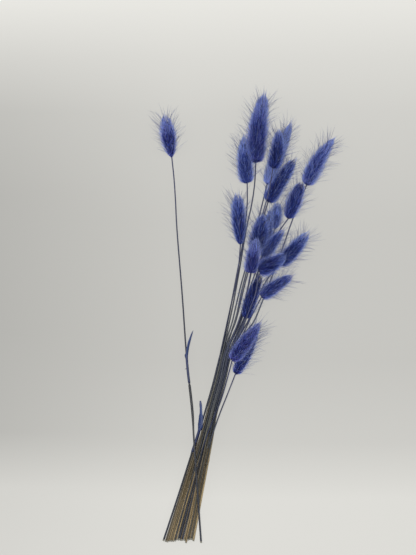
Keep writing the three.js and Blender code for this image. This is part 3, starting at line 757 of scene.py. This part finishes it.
def makeStraw(index, number, look, material):
    # Rings along the stem's line: two in the hollow, then from the cut end up and into the head.
    # The radius swells by e^-((run - joint) / long)^2 at the joint.
    stem, line = stems[number], lines[number]
    draw = np.random.default_rng(700 + int(number))
    joint = look["joint"]
    centre = draw.uniform(joint["from"], joint["to"])
    if number in sheathFoot:
        centre = stem.runAt(cornersOf(sheathFoot[number])[:, 1].min()) - joint["under"]
    nearJoint = centre + np.arange(-6, 7) * 0.45 * mm
    run = np.union1d(np.arange(0, stem.length, look["step"]), nearJoint)
    run = run[run < stem.length - mm]
    place, along, radius = stem.at(run)
    radius = radius * look["fit"] + joint["swell"] * np.exp(-((run - centre) / joint["long"])**2)
    sleeve = look["sleeve"]
    if number == sleeve["straw"]:
        low = centre - sleeve["long"]
        radius += sleeve["swell"] * smoothStep(low, low + sleeve["fade"], run) * (run < centre - mm)
    inner = line.at(np.array([0.3, 1.0]) * look["inHead"] / line.length)
    place = np.vstack([place, stem.end, inner[0]])
    along = np.vstack([along, inner[1][:1], inner[1]])
    radius = np.concatenate([radius, radius[-1] * np.array([1, 1, 0.8])])
    bore = stem.at(np.array([look["boreDeep"], 0.0]))
    place = np.vstack([bore[0], place])
    along = np.vstack([bore[1], along])
    radius = np.concatenate([np.full(2, radius[0] * look["bore"]), radius])
    v = np.concatenate([[0, 0.001, 0.003], 0.006 + 0.994 * np.linspace(0, 1, len(radius) - 3)])

    side, up = crossOf(along)
    angle = -pi / 2 + np.arange(look["sides"]) * 2 * pi / look["sides"]
    ring = np.cos(angle)[:, None] * side[:, None] + np.sin(angle)[:, None] * up[:, None]
    points = (place[:, None] + ring * radius[:, None, None]).reshape(-1, 3)
    points[:, 2] = np.maximum(points[:, 2], lowest)
    rows, sides = len(place), look["sides"]
    strip = 1 / (len(heads) + 1)
    u = strip * (index + 0.04 + 0.92 * np.linspace(0, 1, sides + 1))
    faces, places = gridFaces(rows, sides, u, v, closed=True)
    k = np.arange(sides)
    n = (k + 1) % sides
    top = (rows - 1) * sides
    points = np.vstack([points, place[0], place[-1]])
    ends = np.vstack([np.stack([n, k, np.full(sides, rows * sides)], 1),
                      np.stack([top + k, top + n, np.full(sides, rows * sides + 1)], 1)])
    corner = np.array([[u[0], 0.0005], [u[1], 0.0005], [u[0], 0.001]])
    groups = [(faces, places), (ends, np.broadcast_to(corner, (len(ends), 3, 2)))]
    return addPiece(f"straw_{number}", [(points, groups)], material, "stem", f"stem_{number}")


strawMaterial = makeStrawMaterial(strawLook)
counted = sum(makeStraw(index, number, strawLook, strawMaterial) for index, number in enumerate(heads))
print("straws ready:", counted, "triangles")


# Leaves: a sheath wrapped round its straw that opens into a thin ribbed blade. facing is the
# direction of the sheath's back round the straw, from +X towards +Z.
leafLook = {
    "rows": 70,
    "across": 17,
    "thick": 0.16 * mm,
    "clear": 0.16 * mm,          # between straw and sheath
    "wrap": 2.85,                # half the angle that the sheath goes round, in radians
    "widest": 1.4,               # half the angle of an open blade's section at most
    "wave": (0.06, 23),          # how much a blade's edge waves, and how often
    "knee": 0.45,                # where the blade's curve turns, as a share of its length
    "ribs": {"count": 5, "high": 0.06 * mm},
    # from the sheath's foot at 0 to the blade's tip at 1
    "stops": [(0.0, 0.009, 0.015, 0.050), (0.3, 0.010, 0.018, 0.072), (0.5, 0.010, 0.024, 0.092),
              (0.8, 0.012, 0.030, 0.112), (1.0, 0.009, 0.020, 0.080)],
    "streaks": [(0.3, 0.45, 0.45, 0.5), (0.5, 1.0, 1.0, 1.0), (0.72, 2.2, 2.0, 1.7)],
    "grain": {"across": 60.0, "along": 3.0, "bump": 0.5},
    "roughness": 0.5,
    "specular": 0.35,
    # sheath is its length, twist in degrees, bend the radius of a blade's section, column its
    # place on the map, widths in mm along the blade, spur where a short side tip stands out
    "blades": {
        "01": {"stem": "01", "sheath": 21 * mm, "facing": 40, "twist": 50, "bend": 2.0 * mm,
               "widths": [(0.0, 3.0), (0.25, 2.7), (0.5, 2.7), (0.75, 1.8), (0.92, 1.0), (1.0, 0.15)],
               "column": 0.02, "spur": 13 * mm},
        "02": {"stem": "09", "sheath": 19 * mm, "facing": 125, "twist": -35, "bend": 3.4 * mm,
               "widths": [(0.0, 4.0), (0.3, 4.9), (0.52, 4.5), (0.62, 2.4), (0.9, 2.0), (1.0, 1.4)],
               "column": 0.52, "spur": None},
    },
}


def makeLeafMaterial(look):
    # colour up the leaf by v, times the streaks
    material, tree, shader = newMaterial("dyedLeaf", look["roughness"], look["specular"])
    u, v = mapPlace(tree)
    colour = addRamp(tree, v, look["stops"])
    streaks = addRamp(tree, addStreaks(tree, shader, u, v, look["grain"]), look["streaks"])
    tree.links.new(addMix(tree, 1.0, colour, streaks, "MULTIPLY"), shader.inputs["Base Color"])
    return material


def makeLeaf(name, blade, look, material):
    # Sections from foot to tip. Each is an arc with its back at the spine:
    # spine + out ((bend + depth) cos a - bend) + across (bend + depth) sin a, for a from -arc to arc
    stem = stems[blade["stem"]]
    corners = cornersOf(f"leaf_{name}")
    foot = stem.runAt(corners[:, 1].min())
    tip = corners[np.argsort(corners[:, 1])[-10:]].mean(0)    # the middle of the last ten
    back = np.array([np.cos(radians(blade["facing"])), 0, np.sin(radians(blade["facing"]))])
    sheathRows = look["rows"] // 3
    place, along, radius = stem.at(foot + blade["sheath"] * np.linspace(0, 1, sheathRows))
    snug = radius * strawLook["fit"] + look["clear"]
    spine = place + back * snug[:, None]
    s = np.linspace(0, 1, look["rows"] - sheathRows + 1)[1:]
    start, heading = spine[-1], along[-1]
    knee = start + heading * look["knee"] * np.linalg.norm(tip - start)
    curve = ((1 - s)**2)[:, None] * start + (2 * s * (1 - s))[:, None] * knee + (s**2)[:, None] * tip
    tangent = unit((1 - s)[:, None] * (knee - start) + s[:, None] * (tip - knee))
    places, widths = zip(*blade["widths"])
    deep, often = look["wave"]
    width = np.interp(s, places, widths) * mm * (1 + deep * np.sin(often * s))
    opening = smoothStep(0, 0.3, s)
    bend = np.concatenate([snug, snug[-1] + (blade["bend"] - snug[-1]) * opening])
    flat = np.minimum(width / 2 / bend[sheathRows:], look["widest"])
    wrapped = look["wrap"] * (1 - opening) + flat * opening
    arc = np.concatenate([np.full(sheathRows, look["wrap"]), wrapped])
    spine = np.vstack([spine, curve])
    along = np.vstack([along, tangent])
    turn = np.concatenate([np.zeros(sheathRows), np.radians(blade["twist"]) * s**1.5])
    across = unit(np.cross(along, back))
    out = np.cross(across, along)
    across, out = (np.cos(turn)[:, None] * across + np.sin(turn)[:, None] * out,
                   np.cos(turn)[:, None] * out - np.sin(turn)[:, None] * across)

    w = np.linspace(-1, 1, look["across"])
    ribs = look["ribs"]
    ridge = ribs["high"] * np.abs(np.cos(pi * ribs["count"] * (w + 1) / 2))
    # the last tenth thins to a quarter
    taper = np.minimum(1, 8 * (1 - np.concatenate([np.zeros(sheathRows), s])) + 0.25)[:, None]
    angle = arc[:, None] * w
    layers = []
    for depth in (look["thick"] * taper + ridge * taper, np.zeros_like(angle)):
        reach = bend[:, None] + depth
        layers.append(spine[:, None] + out[:, None] * (reach * np.cos(angle) - bend[:, None])[..., None]
                      + across[:, None] * (reach * np.sin(angle))[..., None])
    points = np.concatenate([layers[0], layers[1][:, ::-1]], 1)
    rows, loop = points.shape[:2]
    points = points.reshape(-1, 3)
    points[:, 2] = np.maximum(points[:, 2], lowest)
    overAndBack = np.concatenate([np.linspace(0, 1, loop // 2), np.linspace(1, 0, loop // 2 + 1)])
    u = blade["column"] + 0.46 * overAndBack
    v = 0.01 + 0.98 * np.linspace(0, 1, rows)
    faces, places = gridFaces(rows, loop, u, v, closed=True)
    half = np.arange(loop // 2 - 1)
    caps = np.stack([half, loop - 1 - half, loop - 2 - half, half + 1], 1)
    ends = np.vstack([caps, caps[:, ::-1] + (rows - 1) * loop])
    corner = np.array([[0, 0], [0.01, 0], [0.01, 0.01], [0, 0.01]]) + [u[0], 0.01]
    parts = [(points, [(faces, places), (ends, np.broadcast_to(corner, (len(ends), 4, 2)))])]
    if blade["spur"]:
        at, heading, radius = stem.at(np.array([foot + blade["spur"]]))
        side = -crossOf(heading)[0]
        root = at + side * radius[:, None] * 0.9
        elbow = root + (side * 1.2 - heading * 0.3) * mm
        point = root + (side * 2.0 - heading * 1.0) * mm
        thick, column, low = np.array([[0.32 * mm], [blade["column"] + 0.2], [0.3]])
        parts.append(hairTubes(np.stack([root, elbow, point], 1), thick, column, low))
    return addPiece(f"blade_{name}", parts, material, "leaf", f"leaf_{name}")


leafMaterial = makeLeafMaterial(leafLook)
counted = sum(makeLeaf(name, blade, leafLook, leafMaterial)
              for name, blade in leafLook["blades"].items())
print("leaves ready:", counted, "triangles")


# Floor and light
floorLook = {
    "size": 6.0,
    "south": -214 * mm,          # the picture's lower and upper edge
    "north": 285 * mm,
    "west": -223 * mm,           # the darker left edge, and where its tone has gone
    "east": -60 * mm,
    # tones up the picture at its left edge, and in the middle and on the right: painted light and shade
    # on a plain floor, darker at the left edge and across the middle, lighter at the top and bottom
    "leftStops": [(0.0, 0.67), (0.12, 0.65), (0.22, 0.49), (0.4, 0.46), (0.65, 0.47), (0.8, 0.53),
                  (0.9, 0.65), (1.0, 0.80)],
    "rightStops": [(0.0, 0.73), (0.1, 0.73), (0.2, 0.61), (0.35, 0.56), (0.6, 0.57), (0.8, 0.63),
                   (0.9, 0.70), (1.0, 0.80)],
    "matt": (0.2, 0.2, 0.2, 1),   # share of the tone that the floor throws back
    # painted light: the floor glows like a lit table though no lamp is built in it, which thins the
    # shadows on it and lights the fur from below
    "glow": 0.715,                # and that it gives off by itself, as a lit table does
    "tint": (1.0, 0.99, 0.94, 1),
}
lightLook = {
    "sky": 0.35,
    "lamps": {
        "above": {"place": (-0.12, 0.16, 1.75), "size": 0.4, "power": 30.0},
        "left": {"place": (-1.35, 0.15, 0.5), "size": 0.9, "power": 5.5},
        "right": {"place": (1.35, 0.15, 0.5), "size": 0.9, "power": 4.5},
    },
}


def makeFloor(look):
    # tone ramps up the picture, mixed from the left one to the right one across it: painted light and
    # shade, darker at the left edge and across the middle
    half = look["size"] / 2
    corners = [(-half, -half, 0), (half, -half, 0), (half, half, 0), (-half, half, 0)]
    mesh = bpy.data.meshes.new("floor")
    mesh.from_pydata(corners, [], [(0, 1, 2, 3)])
    material, tree, shader = newMaterial("paleFloor", 0.9, 0.1)
    place = addNode(tree, "ShaderNodeTexCoord")
    split = addNode(tree, "ShaderNodeSeparateXYZ")
    tree.links.new(place.outputs["Object"], split.inputs["Vector"])
    ranges = {}
    for axis, low, high in (("Y", "south", "north"), ("X", "west", "east")):
        node = tree.nodes.new("ShaderNodeMapRange")
        node.inputs["From Min"].default_value = look[low]
        node.inputs["From Max"].default_value = look[high]
        tree.links.new(split.outputs[axis], node.inputs["Value"])
        ranges[axis] = node.outputs["Result"]
    left, right = [addRamp(tree, ranges["Y"], [(at, tone, tone, tone) for at, tone in look[stops]])
                   for stops in ("leftStops", "rightStops")]
    tone = addMix(tree, ranges["X"], left, right)
    tone = addMix(tree, 1.0, tone, look["tint"], "MULTIPLY")
    tree.links.new(addMix(tree, 1.0, tone, look["matt"], "MULTIPLY"), shader.inputs["Base Color"])
    # the glow: painted light given off by the floor itself
    tree.links.new(tone, shader.inputs["Emission Color"])
    shader.inputs["Emission Strength"].default_value = look["glow"]
    mesh.materials.append(material)
    floor = bpy.data.objects.new("floor", mesh)
    scene.collection.objects.link(floor)


def makeLight(look):
    # an even pale sky, and square lamps that all face the middle of the floor
    world = bpy.data.worlds.new("sky")
    world.use_nodes = True
    world.node_tree.nodes["Background"].inputs["Color"].default_value = (1, 1, 0.99, 1)
    world.node_tree.nodes["Background"].inputs["Strength"].default_value = look["sky"]
    scene.world = world
    for name, lamp in look["lamps"].items():
        data = bpy.data.lights.new(name, "AREA")
        data.size, data.energy = lamp["size"], lamp["power"]
        light = bpy.data.objects.new(name, data)
        light.location = lamp["place"]
        light.rotation_mode = "QUATERNION"
        light.rotation_quaternion = (-Vector(lamp["place"])).to_track_quat("-Z", "Y")
        light.visible_camera = False
        scene.collection.objects.link(light)


makeFloor(floorLook)
makeLight(lightLook)
scene.view_settings.view_transform = "Standard"
print("floor and light ready")
